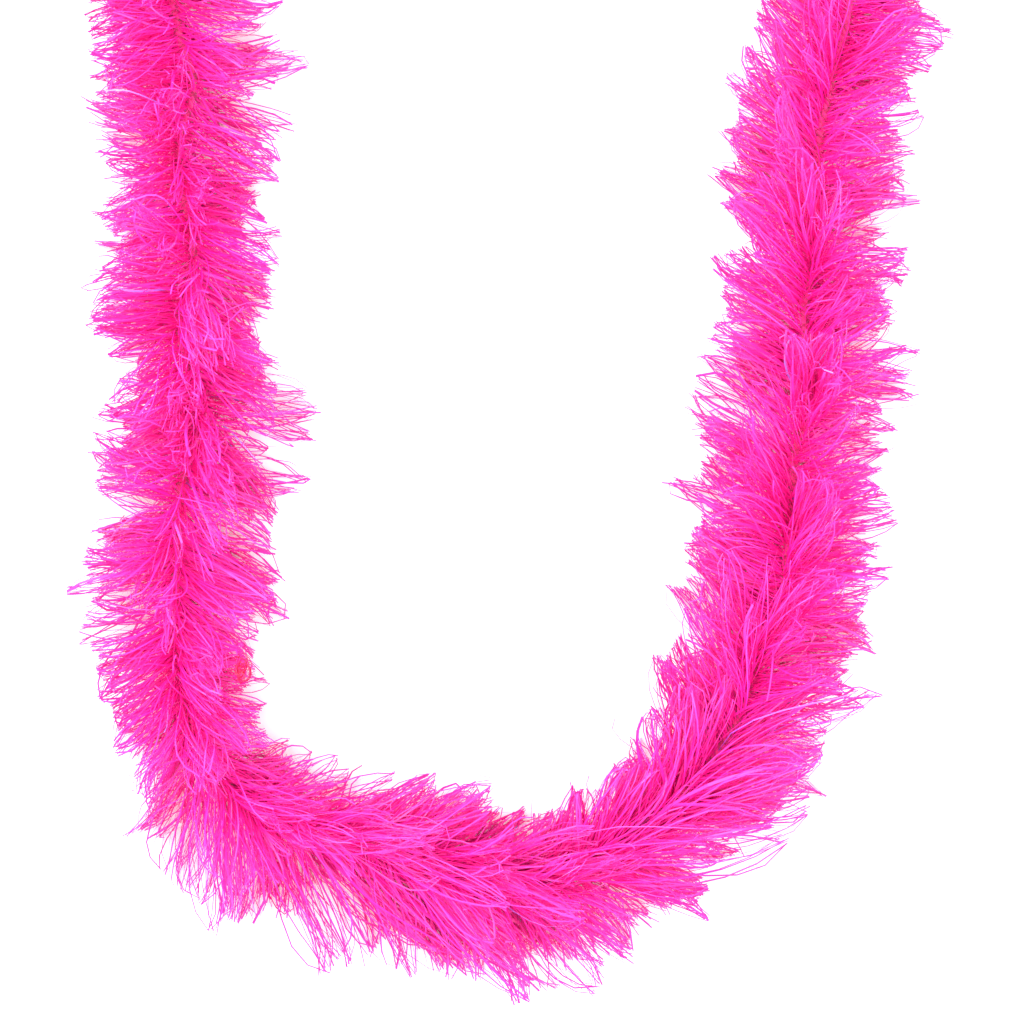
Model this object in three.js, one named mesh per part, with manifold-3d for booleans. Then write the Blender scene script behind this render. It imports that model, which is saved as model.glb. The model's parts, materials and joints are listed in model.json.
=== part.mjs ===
// A feather boa: a soft garland of thin glossy strips that stand out all round from a twisted core cord.
// It lies on a table in a U, with both arms running the same way. Each stretch between two bends is one
// run: a length of core cord that carries short sections of pile. The core ends in a binding and a knot.
//
// Frame: millimetres, +Z up, +Y along the arms towards the two ends, the table at Z = 0.
import * as THREE from "three";
import { mergeVertices } from "three/addons/utils/BufferGeometryUtils.js";
import Module from "manifold-3d";

const wasm = await Module();
wasm.setup();

// Pile: the strips, as one swept body with a ridge along each row of tufts.
const PILE_RADIUS = 44; // reach of the strips from the core
const TUFT_ROWS = 8; // ridges round the core, one of them pointing down
const TUFT_DEPTH = 10.5; // how far a valley lies below its ridges
const PILE_STEP = 20; // length of one step of the sweep
const END_TAPER = 30; // length over which the pile grows to its full reach at each end
const END_REACH = 26; // reach of the first and the last strips
const WAVE_WINDOW = 45; // the pile ignores the core's waves that are shorter than this to each side
const WAVE_SAMPLES = 9; // route points read to each side in that window

// Core cord and what is tied on its ends.
const CORE_DIAMETER = 4;
const CORE_SIDES = 8;
const CORE_STEPS = 80;
const CORE_HEIGHT = 30; // core above the table: the strips under it are bent flat
const TAIL_LENGTH = 10;
const KNOT_DIAMETER = 10;
const KNOT_LENGTH = 11;
const BINDING_LENGTH = 8;
const BINDING_WALL = 1.4;
const ROUND_SIDES = 12; // of the knots and the bindings
const KNOT_STEPS = 5; // of the knot's round outline
const KNOT_FLAT = 0.12; // share of a half turn left off the knot's outline at each pole
const BINDING_SETBACK = 2; // from the knot to the binding, and from the binding to the pile

const CLEARANCE = 0.3; // between pieces that touch
const SEAM_GAP = 0.6; // between two sections of one run
const HINGE_GAP = 1; // between two runs, along the core
const CUTTER_MARGIN = 20; // how far a cutting block reaches beyond the pile
const TABLE_WIDTH = 2000;
const TABLE_DEPTH = 100;

// Bends that the cord makes between two runs, in degrees each way.
const SWING_OUT = 35;
const SWING_IN = 5;
const LIFT = 40;
const SPARE_ANGLE = 1.5; // left open when a bend is at its limit

// The core's route from the left end round to the right end. Bends sit on listed points.
const ROUTE = [
  [-169.5, 422], [-172.5, 327], [-167, 232], [-171.5, 137], [-167, 57], [-157, 14.5], [-164.5, -18],
  [-157, -65.5], [-162.5, -110.5], [-151.5, -145.5], [-162.5, -188], [-165, -228], [-164.5, -268],
  [-159, -300.5], [-149.5, -324], [-131.5, -343], [-103, -359], [-60.5, -367.5], [-28, -376],
  [2, -383], [32, -377], [63, -360], [92, -335], [113.5, -307], [127, -270.5], [138, -240.5],
  [142.5, -203], [144.5, -170.5], [153.5, -133], [149, -103], [154, -68], [156, -18], [163, 19.5],
  [172, 62], [169, 152], [172, 242], [169.5, 332], [175, 422],
];

// Runs in route order. Each ends at a bend on the route point `to`; the last one ends at the cord's end.
const RUNS = [
  { name: "left_end", sections: 3, to: 3, bend: "lift" },
  { name: "left_upper", sections: 2, to: 7, bend: "swing" },
  { name: "left_lower", sections: 2, to: 12, bend: "swing" },
  { name: "middle", sections: 6, to: 25, bend: "swing" },
  { name: "right_lower", sections: 2, to: 30, bend: "swing" },
  { name: "right_upper", sections: 2, to: 34, bend: "lift" },
  { name: "right_end", sections: 3 },
];

const UP = new THREE.Vector3(0, 0, 1);
const route = new THREE.CatmullRomCurve3(
  ROUTE.map(([x, y]) => new THREE.Vector3(x, y, CORE_HEIGHT)), false, "catmullrom", 0.5,
);
route.arcLengthDivisions = 4000;
const ROUTE_LENGTH = route.getLength();
const KNOT_REACH = TAIL_LENGTH + KNOT_LENGTH; // from the cord's tip to the knot's inner face
const BINDING_START = KNOT_REACH + BINDING_SETBACK;
const PILE_START = BINDING_START + BINDING_LENGTH + BINDING_SETBACK;

// Distance along the route of a listed point.
function distanceTo(index) {
  const lengths = route.getLengths();
  return lengths[Math.round((index / (ROUTE.length - 1)) * (lengths.length - 1))];
}

// The pile follows the core but not its small waves: the mean of the route over a short window.
function pileCentre(distance) {
  const mean = new THREE.Vector3();
  for (let i = -WAVE_SAMPLES; i <= WAVE_SAMPLES; i += 1) {
    const at = THREE.MathUtils.clamp(distance + (i * WAVE_WINDOW) / WAVE_SAMPLES, 0, ROUTE_LENGTH);
    mean.add(route.getPointAt(at / ROUTE_LENGTH));
  }
  return mean.divideScalar(2 * WAVE_SAMPLES + 1);
}

function frameAt(distance, centre) {
  const tangent = centre(distance + 1).sub(centre(distance - 1)).normalize();
  const inner = new THREE.Vector3().crossVectors(UP, tangent); // towards the inside of the U
  return { at: centre(distance), tangent, inner };
}

const corePoint = (distance) => (
  route.getPointAt(THREE.MathUtils.clamp(distance / ROUTE_LENGTH, 0, 1))
);

function toSolid(geometry) {
  const bare = geometry.clone();
  bare.deleteAttribute("normal");
  bare.deleteAttribute("uv");
  const merged = mergeVertices(bare, 1e-4);
  return new wasm.Manifold(new wasm.Mesh({
    numProp: 3,
    vertProperties: new Float32Array(merged.attributes.position.array),
    triVerts: new Uint32Array(merged.index.array),
  }));
}

function toGeometry(solid) {
  const mesh = solid.getMesh();
  const geometry = new THREE.BufferGeometry();
  geometry.setAttribute("position", new THREE.BufferAttribute(new Float32Array(mesh.vertProperties), 3));
  geometry.setIndex(new THREE.BufferAttribute(new Uint32Array(mesh.triVerts), 1));
  geometry.computeVertexNormals();
  return geometry;
}

// Moves a geometry so that its own X, Y and Z run along three directions from a point.
function placed(geometry, x, y, z, at) {
  const matrix = new THREE.Matrix4().makeBasis(x, y, z).setPosition(at);
  return geometry.applyMatrix4(matrix);
}

// The reach of the pile at a distance along the route, before the tufts' ridges and valleys.
function reachAt(distance) {
  const fromEnd = Math.min(distance - PILE_START, ROUTE_LENGTH - PILE_START - distance);
  const share = THREE.MathUtils.smoothstep(fromEnd, 0, END_TAPER);
  return END_REACH + (PILE_RADIUS - END_REACH) * share;
}

// A cylinder bent along the pile's centre line, with a ridge on every second side.
function pileSweep() {
  const length = ROUTE_LENGTH - 2 * PILE_START;
  const steps = Math.round(length / PILE_STEP);
  const sides = 2 * TUFT_ROWS;
  const geometry = new THREE.CylinderGeometry(1, 1, 1, sides, steps);
  const position = geometry.attributes.position;
  const point = new THREE.Vector3();
  for (let i = 0; i < position.count; i += 1) {
    point.fromBufferAttribute(position, i);
    const distance = PILE_START + (0.5 - point.y) * length;
    const { at, inner } = frameAt(distance, pileCentre);
    const onAxis = Math.hypot(point.x, point.z) < 0.5;
    const angle = Math.atan2(point.z, point.x);
    const ridge = Math.round((angle / Math.PI) * TUFT_ROWS) % 2 === 0;
    const reach = onAxis ? 0 : reachAt(distance) - (ridge ? 0 : TUFT_DEPTH);
    at.addScaledVector(inner, reach * Math.cos(angle));
    at.addScaledVector(UP, reach * Math.sin(angle));
    position.setXYZ(i, at.x, at.y, at.z);
  }
  return toSolid(geometry);
}

function coreTube(radius, start, end) {
  const corners = Array.from({ length: CORE_SIDES }, (_, i) => {
    const angle = (2 * Math.PI * (i + 0.5)) / CORE_SIDES;
    return new THREE.Vector2(radius * Math.cos(angle), radius * Math.sin(angle));
  });
  const steps = Array.from({ length: CORE_STEPS + 1 }, (_, i) => (
    corePoint(KNOT_REACH + (i * (ROUTE_LENGTH - 2 * KNOT_REACH)) / CORE_STEPS)
  ));
  steps[0].addScaledVector(frameAt(KNOT_REACH, corePoint).tangent, start);
  steps[CORE_STEPS].addScaledVector(frameAt(ROUTE_LENGTH - KNOT_REACH, corePoint).tangent, -end);
  const path = new THREE.CurvePath();
  for (let i = 0; i < CORE_STEPS; i += 1) {
    path.add(new THREE.LineCurve3(steps[i], steps[i + 1]));
  }
  path.getPointAt = (share) => {
    const place = share * CORE_STEPS;
    const i = Math.min(Math.floor(place + 1e-6), CORE_STEPS - 1);
    return new THREE.Vector3().lerpVectors(steps[i], steps[i + 1], place - i);
  };
  path.getTangentAt = (share) => {
    const i = Math.round(share * CORE_STEPS);
    const ahead = steps[Math.min(i + 1, CORE_STEPS)];
    return ahead.clone().sub(steps[Math.max(i - 1, 0)]).normalize();
  };
  return toSolid(new THREE.ExtrudeGeometry(new THREE.Shape(corners), {
    steps: CORE_STEPS, extrudePath: path, bevelEnabled: false,
  }));
}

// The room that two runs need between them to bend, a bow tie seen along the bend's axis.
function bendRoom({ to, bend }) {
  const { at, tangent, inner } = frameAt(distanceTo(to), corePoint);
  const wide = PILE_RADIUS + CUTTER_MARGIN;
  const half = HINGE_GAP / 2;
  const spread = (degrees) => half + wide * Math.tan(THREE.MathUtils.degToRad(degrees / 2 + SPARE_ANGLE));
  const [near, far] = bend === "lift" ? [spread(LIFT), spread(0)] : [spread(SWING_IN), spread(SWING_OUT)];
  const outline = new THREE.Shape([
    new THREE.Vector2(-near, wide), new THREE.Vector2(-half, 0), new THREE.Vector2(-far, -wide),
    new THREE.Vector2(far, -wide), new THREE.Vector2(half, 0), new THREE.Vector2(near, wide),
  ]);
  const block = new THREE.ExtrudeGeometry(outline, { depth: 2 * wide, bevelEnabled: false });
  block.translate(0, 0, -wide);
  const across = bend === "lift" ? UP : inner;
  return toSolid(placed(block, tangent, across, new THREE.Vector3().crossVectors(tangent, across), at));
}

function seam(distance) {
  const { at, tangent, inner } = frameAt(distance, pileCentre);
  const wide = 2 * (PILE_RADIUS + CUTTER_MARGIN);
  return toSolid(placed(new THREE.BoxGeometry(SEAM_GAP, wide, wide), tangent, inner, UP, at));
}

// Seams between the sections of each run, at equal distances.
function seamsOf(run, start, end) {
  return Array.from({ length: run.sections - 1 }, (_, i) => (
    seam(start + ((i + 1) * (end - start)) / run.sections)
  ));
}

// Separate bodies of a solid in route order.
function inRouteOrder(solid, count) {
  const pieces = solid.decompose().map((piece) => {
    const { min, max } = piece.boundingBox();
    const middle = new THREE.Vector3((min[0] + max[0]) / 2, (min[1] + max[1]) / 2, CORE_HEIGHT);
    let nearest = { gap: Infinity, distance: 0 };
    for (let distance = 0; distance <= ROUTE_LENGTH; distance += 5) {
      const gap = corePoint(distance).distanceTo(middle);
      if (gap < nearest.gap) nearest = { gap, distance };
    }
    return { piece, distance: nearest.distance };
  });
  if (pieces.length !== count) throw new Error(`${pieces.length} pieces where ${count} belong`);
  return pieces.sort((a, b) => a.distance - b.distance).map(({ piece }) => piece);
}

const boa = new THREE.Group();

function add(name, geometry, material) {
  const mesh = new THREE.Mesh(geometry, new THREE.MeshStandardMaterial(material));
  mesh.name = name;
  boa.add(mesh);
  return mesh;
}

const STRIP_FILM = { color: 0xff2fb4, roughness: 0.35, metalness: 0 };
const CORD_YARN = { color: 0xd0146e, roughness: 0.8, metalness: 0 };
const BINDING_THREAD = { color: 0xa00f50, roughness: 0.6, metalness: 0 };

const bends = RUNS.filter((run) => run.bend).map(bendRoom);
const starts = [PILE_START, ...RUNS.filter((run) => run.bend).map(({ to }) => distanceTo(to))];
const ends = [...starts.slice(1), ROUTE_LENGTH - PILE_START];
const seams = RUNS.flatMap((run, i) => seamsOf(run, starts[i], ends[i]));

// Core cord, cut where the runs meet.
const core = coreTube(CORE_DIAMETER / 2, CLEARANCE, CLEARANCE);
const stretches = inRouteOrder(bends.reduce((solid, room) => solid.subtract(room), core), RUNS.length);
RUNS.forEach((run, i) => add(`core_cord_${run.name}`, toGeometry(stretches[i]), CORD_YARN));

// Pile: flat where it rests on the table, bored for the core, cut at the bends and the seams.
const tableBox = new THREE.BoxGeometry(TABLE_WIDTH, TABLE_WIDTH, TABLE_DEPTH);
const table = toSolid(tableBox.translate(0, 0, -TABLE_DEPTH / 2));
const bore = coreTube(CORE_DIAMETER / 2 + CLEARANCE, 0, 0);
const cutters = [table, bore, ...bends, ...seams];
const pile = cutters.reduce((solid, cutter) => solid.subtract(cutter), pileSweep());
const sections = inRouteOrder(pile, RUNS.reduce((sum, run) => sum + run.sections, 0));
RUNS.forEach((run) => {
  for (let i = 1; i <= run.sections; i += 1) {
    add(`pile_${run.name}_${i}`, toGeometry(sections.shift()), STRIP_FILM);
  }
});

// Knot with its short tail: one turned form, its inner face square to the core.
function knot() {
  const tail = CORE_DIAMETER / 2;
  const outline = [new THREE.Vector2(0, 0), new THREE.Vector2(tail, 0)];
  for (let i = 0; i <= KNOT_STEPS; i += 1) {
    const angle = Math.PI * (KNOT_FLAT + ((1 - 2 * KNOT_FLAT) * i) / KNOT_STEPS);
    outline.push(new THREE.Vector2(
      (KNOT_DIAMETER / 2) * Math.sin(angle),
      TAIL_LENGTH + (KNOT_LENGTH / 2) * (1 - Math.cos(angle)),
    ));
  }
  outline.push(new THREE.Vector2(0, outline.at(-1).y));
  return new THREE.LatheGeometry(outline, ROUND_SIDES);
}

function binding() {
  const inside = CORE_DIAMETER / 2 + CLEARANCE;
  const outside = inside + BINDING_WALL;
  return new THREE.LatheGeometry([
    new THREE.Vector2(inside, 0), new THREE.Vector2(outside, 0),
    new THREE.Vector2(outside, BINDING_LENGTH), new THREE.Vector2(inside, BINDING_LENGTH),
    new THREE.Vector2(inside, 0),
  ], ROUND_SIDES);
}

for (const [side, tip, towards] of [["left", 0, 1], ["right", ROUTE_LENGTH, -1]]) {
  const at = (reach) => {
    const { at: place, tangent, inner } = frameAt(tip + towards * reach, corePoint);
    return { place, along: tangent.multiplyScalar(towards), inner };
  };
  const inwards = at(KNOT_REACH);
  const knotFoot = inwards.place.clone().addScaledVector(inwards.along, -KNOT_REACH);
  const cross = new THREE.Vector3().crossVectors(UP, inwards.along);
  add(`end_knot_${side}`, placed(knot(), UP, inwards.along, cross, knotFoot), CORD_YARN);
  const wrap = at(BINDING_START);
  add(`end_binding_${side}`, placed(binding(), UP, wrap.along, cross, wrap.place), BINDING_THREAD);
}

export default boa;
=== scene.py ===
"""A hot pink boa of thin glossy strips, laid in a U on a white table and seen from straight above.

Metres, +Z up, +Y along both arms towards the ends, the table at Z = 0.
"""

import json
import math

import bpy
import numpy as np
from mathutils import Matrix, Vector


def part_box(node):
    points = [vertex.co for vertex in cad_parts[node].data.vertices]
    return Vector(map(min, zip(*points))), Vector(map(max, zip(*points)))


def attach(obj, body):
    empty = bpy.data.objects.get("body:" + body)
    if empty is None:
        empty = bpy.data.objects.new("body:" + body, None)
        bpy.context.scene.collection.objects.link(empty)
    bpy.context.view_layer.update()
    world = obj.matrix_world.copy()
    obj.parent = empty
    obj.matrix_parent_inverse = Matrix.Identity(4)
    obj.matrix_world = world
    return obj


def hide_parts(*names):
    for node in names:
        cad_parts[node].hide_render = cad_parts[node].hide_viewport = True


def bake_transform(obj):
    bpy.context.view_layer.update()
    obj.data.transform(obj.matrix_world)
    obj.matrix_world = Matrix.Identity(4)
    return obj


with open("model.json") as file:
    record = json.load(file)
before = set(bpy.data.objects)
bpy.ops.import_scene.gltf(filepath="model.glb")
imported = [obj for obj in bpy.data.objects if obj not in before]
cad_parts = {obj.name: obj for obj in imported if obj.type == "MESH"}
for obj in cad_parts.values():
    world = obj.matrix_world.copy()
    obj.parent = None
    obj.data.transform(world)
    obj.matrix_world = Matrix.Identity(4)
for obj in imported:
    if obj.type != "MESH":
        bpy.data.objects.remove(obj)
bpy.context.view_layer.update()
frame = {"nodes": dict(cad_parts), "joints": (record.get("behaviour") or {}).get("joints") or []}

MM = 0.001
UP = np.array([0.0, 0.0, 1.0])
OPPOSITE = (0.0, math.pi)  # where two twisted plies are round each other

# ---------------------------------------------------------------- sizes, the same as the part's own
CORE_HEIGHT = 30 * MM
CORE_DIAMETER = 4 * MM
TAIL_LENGTH = 10 * MM
KNOT_LENGTH = 11 * MM
KNOT_DIAMETER = 10 * MM
BINDING_LENGTH = 8 * MM
BINDING_SETBACK = 2 * MM
KNOT_REACH = TAIL_LENGTH + KNOT_LENGTH
BINDING_START = KNOT_REACH + BINDING_SETBACK
PILE_START = BINDING_START + BINDING_LENGTH + BINDING_SETBACK

# The core's route, from the left end round to the right end.
ROUTE = [
    (-0.1695, 0.422), (-0.1725, 0.327), (-0.167, 0.232), (-0.1715, 0.137), (-0.167, 0.057),
    (-0.157, 0.0145), (-0.1645, -0.018), (-0.157, -0.0655), (-0.1625, -0.1105),
    (-0.1515, -0.1455), (-0.1625, -0.188), (-0.165, -0.228), (-0.1645, -0.268),
    (-0.159, -0.3005), (-0.1495, -0.324), (-0.1315, -0.343), (-0.103, -0.359),
    (-0.0605, -0.3675), (-0.028, -0.376), (0.002, -0.383), (0.032, -0.377), (0.063, -0.36),
    (0.092, -0.335), (0.1135, -0.307), (0.127, -0.2705), (0.138, -0.2405), (0.1425, -0.203),
    (0.1445, -0.1705), (0.1535, -0.133), (0.149, -0.103), (0.154, -0.068), (0.156, -0.018),
    (0.163, 0.0195), (0.172, 0.062), (0.169, 0.152), (0.172, 0.242), (0.1695, 0.332),
    (0.175, 0.422),
]


class Route:
    """The core's centre line: a Catmull-Rom curve through the points, by distance along it."""

    def __init__(self, points, per_span=60):
        p = np.array([(x, y, CORE_HEIGHT) for x, y in points])
        p = np.vstack([2 * p[0] - p[1], p, 2 * p[-1] - p[-2]])
        t = np.linspace(0, 1, per_span, endpoint=False)[:, None]
        spans = []
        for a, b, c, d in zip(p, p[1:], p[2:], p[3:]):
            m0, m1 = (c - a) / 2, (d - b) / 2
            cubic, square = 2 * b - 2 * c + m0 + m1, -3 * b + 3 * c - 2 * m0 - m1
            spans.append(cubic * t**3 + square * t**2 + m0 * t + b)
        self.line = np.vstack([*spans, p[-2][None]])
        steps = np.linalg.norm(np.diff(self.line, axis=0), axis=1)
        self.along = np.concatenate([[0.0], np.cumsum(steps)])
        self.length = self.along[-1]
        slope = np.gradient(self.line, self.along, axis=0)
        self.slope = slope / np.linalg.norm(slope, axis=1, keepdims=True)

    def _read(self, table, distance):
        return np.stack([np.interp(distance, self.along, table[:, k]) for k in range(3)], axis=-1)

    def point(self, distance):
        return self._read(self.line, distance)

    def frame(self, distance):
        """Points, tangents and the directions towards the inside of the U."""
        tangent = self._read(self.slope, distance)
        tangent /= np.linalg.norm(tangent, axis=-1, keepdims=True)
        return self.point(distance), tangent, np.cross(UP, tangent)

    def nearest(self, point):
        return self.along[np.argmin(np.linalg.norm(self.line - np.array(point), axis=1))]


route = Route(ROUTE)

# ---------------------------------------------------------------- bends and the stretches round them
# In route order: (joint, body before the bend, body after it).
BENDS = [
    ("left_end_lift", "left_end_run", "left_upper_run"),
    ("left_upper_swing", "left_upper_run", "left_lower_run"),
    ("left_lower_swing", "left_lower_run", "middle_run"),
    ("right_lower_swing", "middle_run", "right_lower_run"),
    ("right_upper_swing", "right_lower_run", "right_upper_run"),
    ("right_end_lift", "right_upper_run", "right_end_run"),
]
SWING_ZONE = 50 * MM  # a stretch's from and to points lie this far to each side of a swing's hinge
LIFT_ZONE = 100 * MM  # and for a lift, this far beyond the hinge only
joints = {j["name"]: j for j in frame["joints"]}


def stretches():
    """One stretch for each bend, from the middle of one run to the middle of the next."""
    hinges = [np.array(joints[name]["pos_m"]) for name, _, _ in BENDS]
    at = [route.nearest(h) for h in hinges]
    cuts = [0.0, *[(a + b) / 2 for a, b in zip(at, at[1:])], route.length]
    made = []
    for i, (name, before, after) in enumerate(BENDS):
        _, tangent, _ = route.frame(at[i])
        hinge = hinges[i]
        zone = (SWING_ZONE, SWING_ZONE)
        if name == "left_end_lift":
            zone = (LIFT_ZONE, 0.0)
        if name == "right_end_lift":
            zone = (0.0, LIFT_ZONE)
        made.append({
            "name": name.rsplit("_", 1)[0], "start": cuts[i], "end": cuts[i + 1],
            "before": before, "after": after,
            "from": hinge - tangent * zone[0], "to": hinge + tangent * zone[1],
        })
    return made


STRETCHES = stretches()


def bend(piece):
    """Bakes the piece's placement into its mesh."""
    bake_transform(piece)


# ---------------------------------------------------------------- mesh help
def mesh_object(name, points, quads=None, triangles=None, uv=None, smooth=False):
    """A mesh from arrays of points, quads and triangles. uv holds one pair for each point."""
    mesh = bpy.data.meshes.new(name)
    groups = [g for g in (quads, triangles) if g is not None and len(g)]
    corners = np.concatenate([g.ravel() for g in groups]).astype(np.int32)
    sizes = np.concatenate([np.full(len(g), g.shape[1]) for g in groups])
    starts = np.concatenate([[0], np.cumsum(sizes)[:-1]]).astype(np.int32)
    mesh.vertices.add(len(points))
    mesh.vertices.foreach_set("co", np.ascontiguousarray(points, np.float32).ravel())
    mesh.loops.add(len(corners))
    mesh.loops.foreach_set("vertex_index", corners)
    mesh.polygons.add(len(sizes))
    mesh.polygons.foreach_set("loop_start", starts)
    mesh.polygons.foreach_set("use_smooth", np.full(len(sizes), smooth))
    if uv is not None:
        layer = mesh.uv_layers.new(name="OFBake")
        layer.data.foreach_set("uv", np.ascontiguousarray(uv[corners], np.float32).ravel())
    mesh.update(calc_edges=True)
    made = bpy.data.objects.new(name, mesh)
    bpy.context.scene.collection.objects.link(made)
    return made


def unit(v):
    return v / np.maximum(np.linalg.norm(v, axis=-1, keepdims=True), 1e-12)


def carried(line):
    """The directions along a line, and two directions across it that follow it without twisting."""
    tangent = unit(np.gradient(line, axis=0))
    side = np.zeros_like(line)
    guide = UP if abs(tangent[0] @ UP) < 0.9 else np.array([1.0, 0.0, 0.0])
    for i, t in enumerate(tangent):
        guide = unit(guide - t * (guide @ t))
        side[i] = guide
    return tangent, side, np.cross(tangent, side)


def tube(line, radius, sides=8):
    """Points and faces of a closed round tube. radius is one number, or one for each point."""
    line = np.asarray(line, float)
    _, side, other = carried(line)
    angle = np.arange(sides) * 2 * math.pi / sides
    radius = np.broadcast_to(np.asarray(radius, float), (len(line),))[:, None, None]
    ring = side[:, None] * np.cos(angle)[None, :, None] + other[:, None] * np.sin(angle)[None, :, None]
    points = (line[:, None] + ring * radius).reshape(-1, 3)
    k = np.arange(len(line) - 1)[:, None] * sides
    j = np.arange(sides)[None]
    n = (j + 1) % sides
    quads = np.stack([k + j, k + n, k + n + sides, k + j + sides], axis=-1).reshape(-1, 4)
    first, last = len(points), len(points) + 1
    points = np.vstack([points, line[0], line[-1]])
    end = (len(line) - 1) * sides
    caps = [(first, (i + 1) % sides, i) for i in range(sides)]
    caps += [(last, end + i, end + (i + 1) % sides) for i in range(sides)]
    return points, quads, np.array(caps)


def twisted(line, distance, turn, offset, pitch):
    """A line that winds round another one. distance is each point's place along it."""
    _, side, other = carried(line)
    angle = (2 * math.pi * distance / pitch + turn)[:, None]
    return line + offset * (other * np.cos(angle) + side * np.sin(angle))


def joined(parts):
    """Several (points, quads, triangles) as one."""
    points, quads, triangles, count = [], [], [], 0
    for p, q, t in parts:
        points.append(p)
        quads.append(q + count)
        triangles.append(t + count)
        count += len(p)
    return np.vstack(points), np.vstack(quads), np.vstack(triangles)


# ---------------------------------------------------------------- materials
def material(name):
    made = bpy.data.materials.new(name)
    made.use_nodes = True
    nodes, links = made.node_tree.nodes, made.node_tree.links
    return made, nodes, links, nodes["Principled BSDF"]


def ramp(nodes, stops):
    made = nodes.new("ShaderNodeValToRGB")
    elements = made.color_ramp.elements
    while len(elements) < len(stops):
        elements.new(0.5)
    for element, (place, colour) in zip(elements, stops):
        element.position = place
        element.color = (*colour, 1.0)
    return made


def strip_film():
    """Glossy pink film. V runs from a strip's root to its tip and carries painted shade: darker and
    redder at the roots, lighter at the tips. U is its dye, and at its top end a painted violet sheen.
    """
    made, nodes, links, shader = material("strip_film")
    uv = nodes.new("ShaderNodeUVMap")
    uv.uv_map = "OFBake"
    split = nodes.new("ShaderNodeSeparateXYZ")
    links.new(uv.outputs["UV"], split.inputs[0])
    # Painted shade: the strips darken and redden towards their roots, where they lie deep in the pile by
    # the core, and lighten towards their tips.
    along = ramp(nodes, [
        (0.0, (0.98, 0.008, 0.37)), (0.2, (1.0, 0.015, 0.44)), (0.55, (1.0, 0.03, 0.47)),
        (1.0, (1.0, 0.045, 0.48)),
    ])
    links.new(split.outputs["Y"], along.inputs["Fac"])
    # The strips' own dye, varying at random from strip to strip; the last stop paints a pale violet
    # iridescent sheen onto a few strips.
    dye_and_sheen = ramp(nodes, [
        (0.0, (0.78, 0.7, 0.28)), (0.05, (0.92, 0.7, 0.74)), (0.35, (1.0, 0.9, 0.92)),
        (0.7, (1.0, 1.0, 1.0)), (0.95, (0.97, 1.6, 1.12)), (1.0, (0.5, 8.0, 2.0)),
    ])
    links.new(split.outputs["X"], dye_and_sheen.inputs["Fac"])
    mix = nodes.new("ShaderNodeMix")
    mix.data_type = "RGBA"
    mix.blend_type = "MULTIPLY"
    mix.inputs["Factor"].default_value = 1.0
    links.new(along.outputs["Color"], mix.inputs["A"])
    links.new(dye_and_sheen.outputs["Color"], mix.inputs["B"])
    links.new(mix.outputs["Result"], shader.inputs["Base Color"])
    shader.inputs["Roughness"].default_value = 0.38
    shader.inputs["IOR"].default_value = 1.45
    shader.inputs["Specular IOR Level"].default_value = 0.5
    return made


def yarn(name, light, dark, scale):
    """Matt twisted yarn: fine fibres across a slow change of dye."""
    made, nodes, links, shader = material(name)
    place = nodes.new("ShaderNodeTexCoord")
    fibres = nodes.new("ShaderNodeTexNoise")
    fibres.inputs["Scale"].default_value = scale
    fibres.inputs["Detail"].default_value = 6.0
    links.new(place.outputs["Object"], fibres.inputs["Vector"])
    colours = ramp(nodes, [(0.3, dark), (0.7, light)])
    links.new(fibres.outputs["Fac"], colours.inputs["Fac"])
    links.new(colours.outputs["Color"], shader.inputs["Base Color"])
    bump = nodes.new("ShaderNodeBump")
    bump.inputs["Strength"].default_value = 0.5
    bump.inputs["Distance"].default_value = 0.2 * MM
    links.new(fibres.outputs["Fac"], bump.inputs["Height"])
    links.new(bump.outputs["Normal"], shader.inputs["Normal"])
    shader.inputs["Roughness"].default_value = 0.8
    shader.inputs["Sheen Weight"].default_value = 0.3
    return made


FILM = strip_film()
CORD_YARN = yarn("cord_yarn", (0.95, 0.02, 0.3), (0.5, 0.004, 0.12), 2500)
THREAD = yarn("binding_thread", (0.55, 0.008, 0.14), (0.2, 0.003, 0.05), 4000)

# ---------------------------------------------------------------- camera
VIEW_WIDTH = 0.512  # of the table's picture, at the core's height
VIEW_CENTRE = (0.003, -0.199)
LENS, SENSOR = 100.0, 36.0


def camera():
    data = bpy.data.cameras.new("camera")
    data.lens, data.sensor_width = LENS, SENSOR
    made = bpy.data.objects.new("camera", data)
    bpy.context.scene.collection.objects.link(made)
    made.location = (*VIEW_CENTRE, CORE_HEIGHT + VIEW_WIDTH * LENS / SENSOR)
    data.clip_start, data.clip_end = 0.01, 50.0
    bpy.context.scene.camera = made


camera()

# ---------------------------------------------------------------- core cord
PLY_RADIUS = 1.05 * MM
PLY_OFFSET = 0.95 * MM
PLY_PITCH = 7 * MM
PLY_STEP = 1.0 * MM


def core_cord(stretch):
    """Two plies twisted round each other along one stretch."""
    start = max(stretch["start"], KNOT_REACH)
    end = min(stretch["end"], route.length - KNOT_REACH)
    distance = np.arange(start, end, PLY_STEP)
    distance = np.append(distance, end)
    middle = route.point(distance)
    plies = [
        tube(twisted(middle, distance, turn, PLY_OFFSET, PLY_PITCH), PLY_RADIUS) for turn in OPPOSITE
    ]
    name = "core_plies_" + stretch["name"]
    piece = mesh_object(name, *joined(plies), smooth=True)
    piece.data.materials.append(CORD_YARN)
    bend(piece)
    for run in (stretch["before"], stretch["after"]):
        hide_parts("core_cord_" + run.removesuffix("_run"))
    return piece


THREAD_RADIUS = 0.22 * MM
THREAD_PITCH = 9 * MM
THREAD_STEP = 0.9 * MM
THREAD_DRIFT, DRIFT_LENGTH = 0.8, 31 * MM  # radians, how far a thread strays from an even pitch
THREAD_GAP = 0.35 * MM  # over the core
THREAD_SLACK, SLACK_LENGTH = 0.5 * MM, 17 * MM


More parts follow.
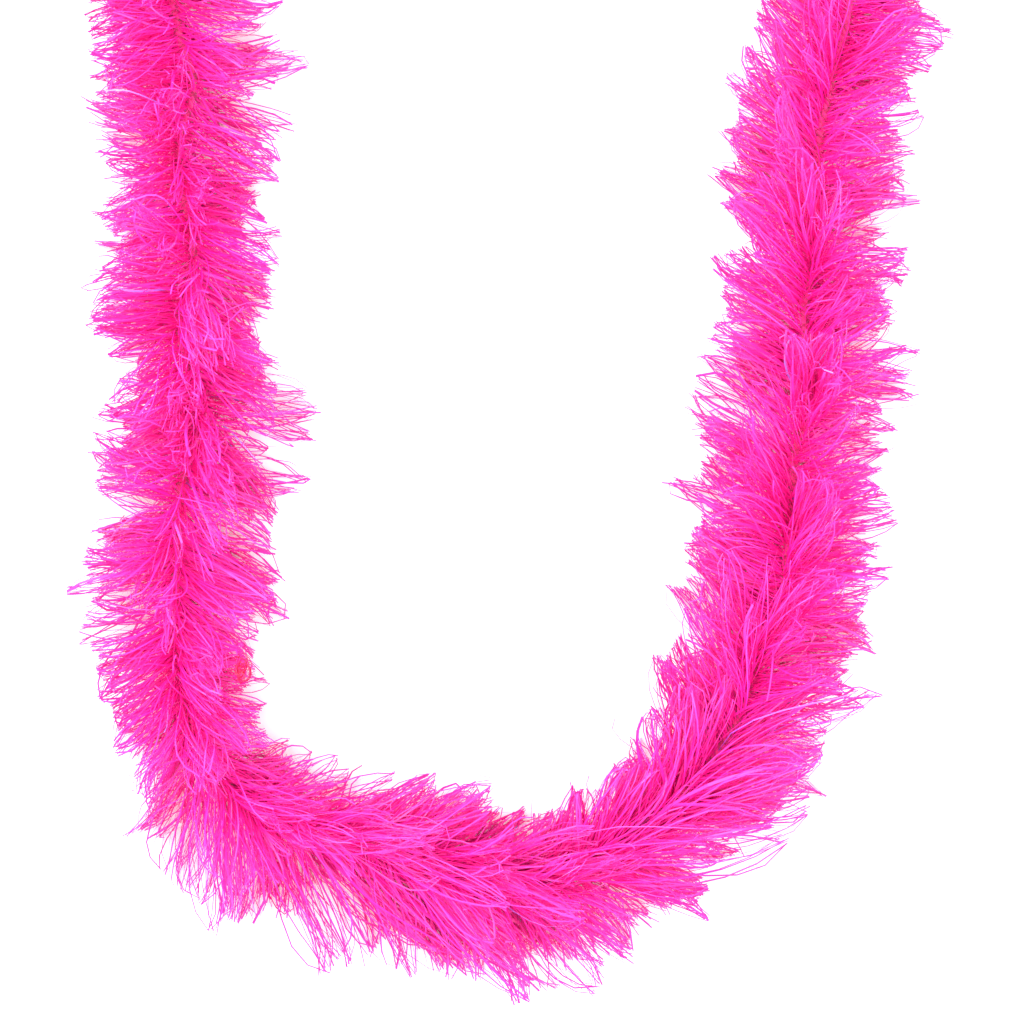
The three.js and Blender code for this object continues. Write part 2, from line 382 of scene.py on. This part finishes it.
def core_threads(stretch):
    """Two dark threads wound loosely over the plies, which hold the strips' roots."""
    start = max(stretch["start"], PILE_START)
    end = min(stretch["end"], route.length - PILE_START)
    distance = np.arange(start, end, THREAD_STEP)
    at, _, inner = route.frame(distance)
    loose = CORE_DIAMETER / 2 + THREAD_GAP + THREAD_SLACK * np.sin(distance / SLACK_LENGTH) ** 2
    threads = []
    for way in (1, -1):
        angle = way * 2 * math.pi * distance / THREAD_PITCH
        angle = angle + THREAD_DRIFT * np.sin(distance / DRIFT_LENGTH)
        round_core = inner * np.cos(angle)[:, None] + UP * np.sin(angle)[:, None]
        threads.append(tube(at + loose[:, None] * round_core, THREAD_RADIUS, sides=5))
    piece = mesh_object("core_threads_" + stretch["name"], *joined(threads), smooth=True)
    piece.data.materials.append(THREAD)
    bend(piece)


for stretch in STRETCHES:
    core_cord(stretch)
    core_threads(stretch)

# ---------------------------------------------------------------- the pile of strips
rng = np.random.default_rng(20)
TUFTS = 620
CLUMPS = 4  # in a tuft, side by side
PER_CLUMP = 15
STRIPS = TUFTS * CLUMPS * PER_CLUMP  # before the tufts are thinned out
STEPS = 7  # straight steps in one strip
# U for redder strips, for plain strips at random, and for the few strips with a painted violet sheen.
RED_DYE, PLAIN_DYE, PAINTED_SHEEN_U = 0.0, (0.06, 0.95), 1.0
PAINTED_SHEEN_SHARE = 0.004

# Tufts, round the core and along it.
GOLDEN_TURN = math.radians(137.5)  # from one tuft to the next, round the core
TURN_NOISE = 0.4  # radians
PARTING = 0.5  # how far tufts that point up fall to either side
TUFT_SHIFT = (0.2, 0.8)  # where a tuft stands, in its share of the route
LEAN_NOISE = 9  # degrees
TOP_LEAN = 0.5  # how much more tufts on top lean
TOP_SPLAY = 1.2  # and how much wider they open
REACH_NOISE, REACH_RANGE = 0.055, (0.85, 1.12)
LEAN_GAIN = 0.6  # how far leaning tufts make up for their lean
UPWARD_REACH = 41 * MM
TIP_CUT = (0.15, 0.9)  # how askew a tuft's end is cut
TUFT_HALF_WIDTH = 8.5 * MM  # at the tips, along the core
TUFT_HALF_DEPTH = 5 * MM
SPARSE_TUFT, FULL_TUFT = 0.62, 1.25  # the share of its strips a tuft keeps

# Clumps and strips. A pair is the noise of a whole clump, then that of one strip.
CLUMP_HALF_WIDTH = 2.3 * MM  # at the strips' tips
CLUMP_SHIFT, CLUMP_DEPTH, STRIP_DEPTH = 0.15, 0.7, 0.5
LENGTH_NOISE = (0.055, 0.011)
LEAVE_NOISE = (0.1, 0.32)  # of the direction in which strips leave the core
ARRIVE_NOISE = (0.16, 0.42)  # of the direction in which they end
HANDLE = 0.36  # how long a strip keeps either direction, as a share of its length
ROOT_SPREAD = 8 * MM
ROOT_FOLLOWS, ROOT_NOISE = 0.4, 0.75
ROOT_TWIST, ROOT_TURN_NOISE = 0.2, 0.7
ROOT_DEPTH = 0.4 * CORE_DIAMETER  # from the core's middle to a root, inside the plies
SAG = (1, 4)  # mm, at the tips
STRAY_SHARE = 0.035
STRAY_LEAN, STRAY_CURL = 38, 0.4  # degrees, and the noise added to its end's direction
STRAY_REACH = (0.5, 0.92)
STRIP_WIDTH = 0.7 * MM
WIDTH_NOISE, WIDTH_RANGE = 0.2, (0.6, 1.5)
WIDE_SHARE, WIDE_STRIP = 0.08, 1.7
STRIP_THICKNESS = 0.1 * MM

# The table below and the pile's own weight from above.
FLAT_ABOVE = 60 * MM  # the pile's weight presses it down from this height on
FLAT_ROOM = 22 * MM
REST_HEIGHT, RUFFLE = 0.6, 8  # mm over the table
SPREAD_OUT = 0.75  # how far a strip moves out, as a share of how far it is lifted
STRAIGHT_DOWN = 0.2  # strips this near to pointing down fall to either side

# How the pile lies, along the route: the distance, then the degrees it leans forward and the millimetres
# it reaches, each inwards and outwards.
LIE = [
    (0.00, 16, 6, 43, 43), (0.42, 16, 6, 44, 43), (0.53, 18, 8, 47, 45), (0.56, 34, 8, 50, 45),
    (0.59, 22, 8, 49, 45), (0.62, 20, 8, 51, 45), (0.70, 28, 16, 38, 48), (0.75, 34, 30, 32, 55),
    (0.80, 42, 46, 33, 64), (0.85, 46, 44, 37, 70), (0.89, 46, 43, 39, 56), (1.00, 42, 40, 40, 51),
    (1.06, 36, 30, 50, 52), (1.14, 32, 18, 51, 47), (1.22, 28, 12, 48, 45), (1.36, 26, 12, 46, 44),
    (1.55, 22, 14, 43, 44), (1.80, 20, 16, 41, 46),
]

# Where the pile's edge steps in or out: (distance, half width in mm, the share of its reach lost).
INNER_STEPS = [
    (0.398, 6, -0.15), (0.414, 7, 0.16), (0.426, 5, -0.1), (0.484, 12, 0.28), (0.579, 6, -0.2),
    (0.596, 6, 0.32), (0.668, 22, -0.12), (0.88, 6, 0.16), (0.904, 6, -0.15), (0.932, 12, 0.15),
    (0.978, 6, 0.3), (1.022, 8, 0.42), (1.043, 6, -0.14), (1.097, 11, 0.24), (1.14, 6, 0.15),
    (1.163, 15, 0.15), (1.194, 7, -0.22), (1.268, 8, 0.16), (1.295, 6, 0.14), (1.322, 6, -0.3),
    (1.38, 10, 0.08), (1.42, 6, 0.15),
]
OUTER_STEPS = [
    (0.458, 9, 0.14), (0.544, 7, 0.3), (0.553, 9, 0.42), (0.716, 20, 0.18), (0.765, 6, 0.25),
    (0.79, 8, -0.25), (0.834, 11, 0.36), (0.868, 9, -0.2), (0.884, 8, 0.3), (0.905, 5, -0.15),
    (0.936, 11, 0.22), (1.032, 13, 0.26), (1.064, 7, -0.14), (1.094, 12, 0.34),
    (1.21, 6, 0.3), (1.235, 6, 0.28), (1.255, 6, -0.14),
]
EDGE_WRAP = 1.6  # how far round the core an edge step goes


def lie(distance, turn):
    """The lean and the reach of strips that stand at this angle round the core."""
    table = np.array(LIE)
    at = [np.interp(distance, table[:, 0], table[:, k]) for k in (1, 2, 3, 4)]
    inwards = (1 + np.cos(turn)) / 2
    lean = at[0] * inwards + at[1] * (1 - inwards)
    reach = at[2] * inwards + at[3] * (1 - inwards)
    return np.radians(lean), reach * MM


def stepped(distance, turn):
    """The share of its reach a tuft keeps, whose tip is at this distance along the route."""
    kept = np.ones(len(distance))
    for side, steps in ((1, INNER_STEPS), (-1, OUTER_STEPS)):
        for place, half_width, lost in steps:
            near = np.exp(-(((distance - place) / (half_width * MM)) ** 2))
            kept = kept * (1 - lost * near * np.clip(side * np.cos(turn) * EDGE_WRAP, 0, 1))
    return kept


def direction(tangent, inner, turn, lean):
    """Out from the core at an angle round it (0 inwards, a quarter turn up), leaning forward."""
    out = inner * np.cos(turn)[:, None] + UP * np.sin(turn)[:, None]
    return out * np.cos(lean)[:, None] + tangent * np.sin(lean)[:, None]


def part_on_top(turn):
    """Moves tufts that point up to either side, as they fall open along the core."""
    from_up = (turn - math.pi / 2 + math.pi) % (2 * math.pi) - math.pi
    return math.pi / 2 + from_up + PARTING * np.sin(from_up)


def mixed(mean, spread, shape):
    return rng.normal(mean, spread, shape)


def each(tuft_value):
    """One value for each tuft, given to all its strips."""
    return np.repeat(tuft_value, CLUMPS * PER_CLUMP, axis=0)


def by_clump(spread, *axes):
    """Noise with one value for each clump, given to all its strips."""
    values = mixed(0, spread, (TUFTS * CLUMPS, *axes))
    return np.repeat(values, PER_CLUMP, axis=0)


def tufts():
    """Where each tuft stands, the turn, lean and reach it has, its three directions and its cut."""
    number = np.arange(TUFTS)
    span = route.length - 2 * PILE_START
    station = PILE_START + span * (number + rng.uniform(*TUFT_SHIFT, TUFTS)) / TUFTS
    turn = part_on_top(number * GOLDEN_TURN + mixed(0, TURN_NOISE, TUFTS))
    upright = np.maximum(np.sin(turn), 0) ** 2
    lean, sideways = lie(station, turn)
    lean = lean * (1 + TOP_LEAN * upright) + np.radians(mixed(0, LEAN_NOISE, TUFTS))
    reach = sideways + (UPWARD_REACH - sideways) * upright
    reach = reach / np.cos(lean) ** LEAN_GAIN * np.clip(mixed(1, REACH_NOISE, TUFTS), *REACH_RANGE)
    reach = reach * stepped(station + reach * np.sin(lean), turn)
    at, tangent, inner = route.frame(station)
    aim = direction(tangent, inner, turn, lean)
    side = unit(tangent - aim * np.sum(aim * tangent, axis=1, keepdims=True))
    cut = rng.choice([-1.0, 1.0], TUFTS) * rng.uniform(*TIP_CUT, TUFTS)
    return station, turn, upright, lean, reach, at, aim, side, np.cross(aim, side), cut


def strips():
    """The root's place, the centre line, the roll and the width of every strip."""
    n = STRIPS
    station, turn, upright, lean, reach, at, aim, side, deep, cut = (each(v) for v in tufts())
    stray = rng.random(n) < STRAY_SHARE
    splay = 1 + TOP_SPLAY * upright
    u = np.tile(np.repeat(np.linspace(-1, 1, CLUMPS), PER_CLUMP), TUFTS) + by_clump(CLUMP_SHIFT)
    v = by_clump(CLUMP_DEPTH)
    u = (u + CLUMP_HALF_WIDTH / TUFT_HALF_WIDTH * rng.uniform(-1, 1, n)) * splay
    v = (v + CLUMP_HALF_WIDTH / TUFT_HALF_DEPTH * mixed(0, STRIP_DEPTH, n)) * splay
    root = station + ROOT_SPREAD * (ROOT_FOLLOWS * u + mixed(0, ROOT_NOISE, n))
    root = np.clip(root, PILE_START, route.length - PILE_START)
    root_turn = turn + ROOT_TWIST * v + mixed(0, ROOT_TURN_NOISE, n)
    f_at, f_tangent, f_inner = route.frame(root)
    foot = f_at + direction(f_tangent, f_inner, root_turn, np.zeros(n)) * ROOT_DEPTH

    clump_length, strip_length = LENGTH_NOISE
    length = reach * (1 + by_clump(clump_length) + mixed(0, strip_length, n))
    length = length + TUFT_HALF_WIDTH * cut * u
    tip = (
        at + aim * length[:, None] + side * (TUFT_HALF_WIDTH * u)[:, None]
        + deep * (TUFT_HALF_DEPTH * v)[:, None]
    )
    astray = direction(f_tangent, f_inner, root_turn, lean + np.radians(mixed(0, STRAY_LEAN, n)))
    astray = foot + astray * (reach * rng.uniform(*STRAY_REACH, n))[:, None]
    tip = np.where(stray[:, None], astray, tip)
    whole = np.linalg.norm(tip - foot, axis=1, keepdims=True)
    straight = (tip - foot) / whole
    clump_leave, strip_leave = LEAVE_NOISE
    leave = unit(aim + by_clump(clump_leave, 3) + mixed(0, strip_leave, (n, 3)))
    clump_arrive, strip_arrive = ARRIVE_NOISE
    arrive = straight + by_clump(clump_arrive, 3) + mixed(0, strip_arrive, (n, 3))
    arrive = unit(arrive + stray[:, None] * mixed(0, STRAY_CURL, (n, 3)))
    t = np.linspace(0, 1, STEPS + 1)[None, :, None]
    near, far = foot + leave * whole * HANDLE, tip - arrive * whole * HANDLE
    line = (
        foot[:, None] * (1 - t) ** 3 + near[:, None] * (3 * t * (1 - t) ** 2)
        + far[:, None] * (3 * t**2 * (1 - t)) + tip[:, None] * t**3
    )
    sag = rng.uniform(*SAG, n) * MM * np.abs(np.cos(root_turn))
    line = line - UP * (sag[:, None, None] * t**2)
    line[..., 2] = pressed(line[..., 2])
    line = on_the_table(line, f_inner, turn)
    roll = unit(np.cross(straight, mixed(0, 1, (n, 3))))
    width = STRIP_WIDTH * np.clip(mixed(1, WIDTH_NOISE, n), *WIDTH_RANGE)
    width = width * np.where(rng.random(n) < WIDE_SHARE, WIDE_STRIP, 1)
    kept = rng.random(n) < each(rng.uniform(SPARSE_TUFT, FULL_TUFT, TUFTS))
    return root[kept], line[kept], roll[kept], width[kept]


def pressed(height):
    """Heights above FLAT_ABOVE, squeezed into FLAT_ROOM."""
    over = np.maximum(height - FLAT_ABOVE, 0)
    return np.minimum(height, FLAT_ABOVE) + FLAT_ROOM * np.tanh(over / FLAT_ROOM)


def on_the_table(line, inner, turn):
    """Strips that would go through the table lie along it instead, turned out to their own side."""
    n = len(line)
    rest = (REST_HEIGHT + RUFFLE * rng.random(n)[:, None] ** 2) * MM
    depth = np.maximum(rest - line[..., 2], 0)
    either = rng.choice([-1.0, 1.0], n)
    sideways = np.where(np.abs(np.cos(turn)) < STRAIGHT_DOWN, either, np.sign(np.cos(turn)))
    out = inner * sideways[:, None]
    line = line + out[:, None] * (SPREAD_OUT * depth)[..., None]
    line[..., 2] = np.maximum(line[..., 2], rest)
    return line


# A strip's width from root to tip, as a share of its full width.
TAPER = ([0, 0.2, 0.6, 1], [0.6, 1, 1, 0.8])
# V at the root and at the tip, along which the film paints shade darker towards the root.
ROOT_SHADE_ENDS = (0.02, 0.98)  # V at a root and at a tip


def strip_mesh(line, roll, width, dye_and_sheen):
    """Closed three-sided slips along the centre lines: points, quads, end triangles and UVs."""
    n, rings = line.shape[:2]
    tangent = unit(np.gradient(line, axis=1))
    across = unit(roll[:, None] - tangent * np.sum(roll[:, None] * tangent, axis=-1, keepdims=True))
    normal = np.cross(tangent, across)
    taper = np.interp(np.linspace(0, 1, rings), *TAPER)[None, :, None]
    half = (width / 2)[:, None, None] * taper
    edges = [line - across * half, line + across * half, line + normal * STRIP_THICKNESS]
    points = np.stack(edges, axis=2)
    base = np.arange(n)[:, None, None] * (rings * 3)
    k = np.arange(rings - 1)[None, :, None] * 3
    j = np.arange(3)[None, None]
    m = (j + 1) % 3
    corners = [base + k + j, base + k + m, base + k + 3 + m, base + k + 3 + j]
    quads = np.stack(corners, axis=-1).reshape(-1, 4)
    first = np.arange(n)[:, None] * (rings * 3)
    ends = np.concatenate([first + [0, 2, 1], first + (rings - 1) * 3 + [0, 1, 2]])
    uv = np.empty((n, rings, 3, 2))
    uv[..., 0] = dye_and_sheen[:, None, None]
    uv[..., 1] = np.linspace(*ROOT_SHADE_ENDS, rings)[None, :, None]
    return points.reshape(-1, 3), quads, ends, uv.reshape(-1, 2)


PIECES_PER_STRETCH = 2


def station_of(node):
    """How far along the route a CAD node's middle is."""
    corner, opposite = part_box(node)
    x, y, _ = (np.array(corner) + np.array(opposite)) / 2
    return route.nearest((x, y, CORE_HEIGHT))


def pile():
    root, line, roll, width = strips()
    dye_and_sheen = rng.uniform(*PLAIN_DYE, len(root))
    # A few strips get a painted iridescent sheen, pale violet.
    dye_and_sheen[rng.random(len(root)) < PAINTED_SHEEN_SHARE] = PAINTED_SHEEN_U
    for stretch in STRETCHES:
        edges = np.linspace(stretch["start"], stretch["end"] + 1e-6, PIECES_PER_STRETCH + 1)
        for i, (low, high) in enumerate(zip(edges, edges[1:]), 1):
            here = (root >= low) & (root < high)
            name = f"pile_strips_{stretch['name']}_{i}"
            points, quads, ends, uv = strip_mesh(line[here], roll[here], width[here], dye_and_sheen[here])
            piece = mesh_object(name, points, quads, ends, uv)
            piece.data.materials.append(FILM)
            bend(piece)
            sections = [node for node in frame["nodes"] if node.startswith("pile_")]
            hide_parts(*[node for node in sections if low <= station_of(node) < high])


pile()

CURL_AT = np.array([-0.1305, -0.2755, 0.044])
CURL_STRIPS = 10
CURL_POINTS = 15
CURL_TURNS = 1.2
CURL_RADIUS = (1.9, 3.8)  # mm
CURL_CLOSES = 0.3  # how much a roll's radius shrinks from end to end
CURL_STRETCH = 1.5  # its length along the arm, over its width
CURL_SCATTER = np.array([0.8, 2.4, 1.2]) * MM
CURL_RISE = 5 * MM


def curled_strips():
    """A few redder strips, rolled up at the inner edge of the left arm."""
    t = np.linspace(0, 1, CURL_POINTS)
    angle = rng.uniform(0, 2 * math.pi, (CURL_STRIPS, 1)) + 2 * math.pi * CURL_TURNS * t
    radius = rng.uniform(*CURL_RADIUS, (CURL_STRIPS, 1)) * MM * (1 - CURL_CLOSES * t)
    centre = CURL_AT + mixed(0, 1, (CURL_STRIPS, 3)) * CURL_SCATTER
    line = np.stack([
        centre[:, :1] + radius * np.cos(angle),
        centre[:, 1:2] + radius * CURL_STRETCH * np.sin(angle),
        centre[:, 2:] + (t - 0.5) * CURL_RISE,
    ], axis=-1)
    roll = unit(mixed(0, 1, (CURL_STRIPS, 3)))
    width = np.full(CURL_STRIPS, STRIP_WIDTH)
    points, quads, ends, uv = strip_mesh(line, roll, width, np.full(CURL_STRIPS, RED_DYE))
    piece = mesh_object("curled_strips", points, quads, ends, uv)
    piece.data.materials.append(FILM)
    bend(piece)


curled_strips()

# ---------------------------------------------------------------- knots and bindings
BINDING_TURNS = 10
BINDING_STEPS = 16  # in each turn
BINDING_THREAD = 0.42 * MM  # its half width
BINDING_GAP = 0.5 * MM  # from the core's side to the middle of the thread
KNOT_CORD = 1.6 * MM  # the knotted cord's half width, pulled tight
KNOT_POINTS = 160
KNOT_SWAY = 1.4  # how far the loops pass before and behind each other, in cord half widths
KNOT_PLY_RADIUS, KNOT_PLY_OFFSET, KNOT_PLY_TURNS = 0.58, 0.45, 8  # in cord half widths
NECK_POINTS = 12
TAIL_POINTS = 16
TAIL_SHARE = 0.75  # the rest of the tail is frayed fibres
TAIL_GAP, TAIL_OPENING = 1.0, 1.2  # mm from the middle to each ply at first, and how much it grows
TAIL_TURN = 3  # radians
TAIL_THINS = 0.25
FRAYED_FIBRES = 9
FIBRE_POINTS = 6
FIBRE_RADIUS = 0.2 * MM
FIBRE_LENGTH = 0.3 * TAIL_LENGTH
FIBRE_OPENS = 0.8 * MM
FIBRE_ROOTS = 0.3 * PLY_RADIUS


def place_at(reach, tip, towards):
    """A point of the core this far from its tip, the direction away from the tip, and inwards."""
    at, tangent, inner = route.frame(np.array([tip + towards * reach]))
    return at[0], tangent[0] * towards, inner[0]


def binding(side, tip, towards, body):
    """Thread wound tightly round the core, outside the last strips."""
    at, along, inner = place_at(BINDING_START, tip, towards)
    angle = np.linspace(0, 2 * math.pi * BINDING_TURNS, BINDING_TURNS * BINDING_STEPS + 1)
    coil = at + along * (angle / angle[-1] * BINDING_LENGTH)[:, None]
    ring = inner * np.cos(angle)[:, None] + UP * np.sin(angle)[:, None]
    coil = coil + (CORE_DIAMETER / 2 + BINDING_GAP) * ring
    piece = mesh_object(f"binding_{side}", *tube(coil, BINDING_THREAD), smooth=True)
    piece.data.materials.append(THREAD)
    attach(piece, body)
    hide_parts(f"end_binding_{side}")


def trefoil(middle, along, inner):
    """The closed loop of an overhand knot."""
    a = np.linspace(0, 2 * math.pi, KNOT_POINTS)
    around = np.sin(a) + 2 * np.sin(2 * a)
    beside = np.cos(a) - 2 * np.cos(2 * a)
    scale = (KNOT_DIAMETER / 2 - KNOT_CORD) / 3
    loops = middle + scale * (inner * around[:, None] + UP * beside[:, None])
    return loops - along * (np.sin(3 * a) * KNOT_SWAY * KNOT_CORD)[:, None]


def frayed_tail(middle, along, inner, turn):
    """One ply of the tail, and the fibres that stick out of its end."""
    d = np.linspace(0, 1, TAIL_POINTS)
    tail = middle - along * (d * (KNOT_LENGTH / 2 + TAIL_SHARE * TAIL_LENGTH))[:, None]
    apart = (TAIL_GAP + TAIL_OPENING * d) * MM
    spin = turn + TAIL_TURN * d
    tail = tail + apart[:, None] * (inner * np.cos(spin)[:, None] + UP * np.sin(spin)[:, None])
    parts = [tube(tail, PLY_RADIUS * (1 - TAIL_THINS * d))]
    e = np.linspace(0, 1, FIBRE_POINTS)[:, None]
    for _ in range(FRAYED_FIBRES):
        away = mixed(0, 1, 3)
        fibre = tail[-2] + FIBRE_ROOTS * away - along * (FIBRE_LENGTH * e)
        fibre = fibre + (away - along * (away @ along)) * (FIBRE_OPENS * e**2)
        parts.append(tube(fibre, FIBRE_RADIUS, sides=5))
    return parts


def knot(side, tip, towards, body):
    """An overhand knot in the two-ply core, with a short frayed tail."""
    at, along, inner = place_at(KNOT_REACH, tip, towards)
    middle = at - along * (KNOT_LENGTH / 2)
    loops = trefoil(middle, along, inner)
    gone = np.concatenate([[0], np.cumsum(np.linalg.norm(np.diff(loops, axis=0), axis=1))])
    neck = np.linspace(at, middle, NECK_POINTS)
    reach = np.linspace(0, KNOT_LENGTH / 2, NECK_POINTS)
    pitch = gone[-1] / KNOT_PLY_TURNS
    parts = [
        tube(twisted(loops, gone, turn, KNOT_CORD * KNOT_PLY_OFFSET, pitch), KNOT_CORD * KNOT_PLY_RADIUS)
        for turn in OPPOSITE
    ]
    parts += [tube(twisted(neck, reach, turn, PLY_OFFSET, PLY_PITCH), PLY_RADIUS) for turn in OPPOSITE]
    for turn in OPPOSITE:
        parts += frayed_tail(middle, along, inner, turn)
    piece = mesh_object(f"knot_{side}", *joined(parts), smooth=True)
    piece.data.materials.append(CORD_YARN)
    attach(piece, body)
    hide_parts(f"end_knot_{side}")


for side, tip, towards in (("left", 0.0, 1), ("right", route.length, -1)):
    binding(side, tip, towards, f"{side}_end_run")
    knot(side, tip, towards, f"{side}_end_run")


# ---------------------------------------------------------------- table and light
TABLE_HALF = 12.0
TABLE_DROP = 0.2 * MM  # below the pile, so that the two never share a plane
TABLE_GLOW = 0.2
WORLD_LIGHT = 1.35
LIT_POINT = (0.0, -0.1, 0.0)
LIGHTS = [("key", (-1.2, 0.9, 2.2), 1.6, 62), ("fill", (1.4, -1.2, 1.8), 2.0, 34)]  # place, size, watts


def table():
    """A light table: it glows a little, so it is as pale under the pile as beside it."""
    signs = ((-1, -1), (1, -1), (1, 1), (-1, 1))
    corners = np.array([(x * TABLE_HALF, y * TABLE_HALF, -TABLE_DROP) for x, y in signs])
    made = mesh_object("table", corners, quads=np.array([[0, 1, 2, 3]]))
    look, _, _, shader = material("table_paper")
    shader.inputs["Base Color"].default_value = (0.9, 0.9, 0.9, 1)
    shader.inputs["Roughness"].default_value = 0.9
    shader.inputs["Emission Color"].default_value = (1, 1, 1, 1)
    shader.inputs["Emission Strength"].default_value = TABLE_GLOW
    made.data.materials.append(look)


def light(name, place, size, power):
    data = bpy.data.lights.new(name, "AREA")
    data.size = size
    data.energy = power
    made = bpy.data.objects.new(name, data)
    bpy.context.scene.collection.objects.link(made)
    made.location = place
    made.rotation_mode = "QUATERNION"
    made.rotation_quaternion = Vector(np.subtract(LIT_POINT, place)).to_track_quat("-Z", "Y")
    made.visible_camera = False


def studio():
    world = bpy.data.worlds.new("studio")
    bpy.context.scene.world = world
    world.use_nodes = True
    background = world.node_tree.nodes["Background"]
    background.inputs["Color"].default_value = (1, 1, 1, 1)
    background.inputs["Strength"].default_value = WORLD_LIGHT
    for settings in LIGHTS:
        light(*settings)
    bpy.context.scene.view_settings.view_transform = "Standard"


table()
studio()
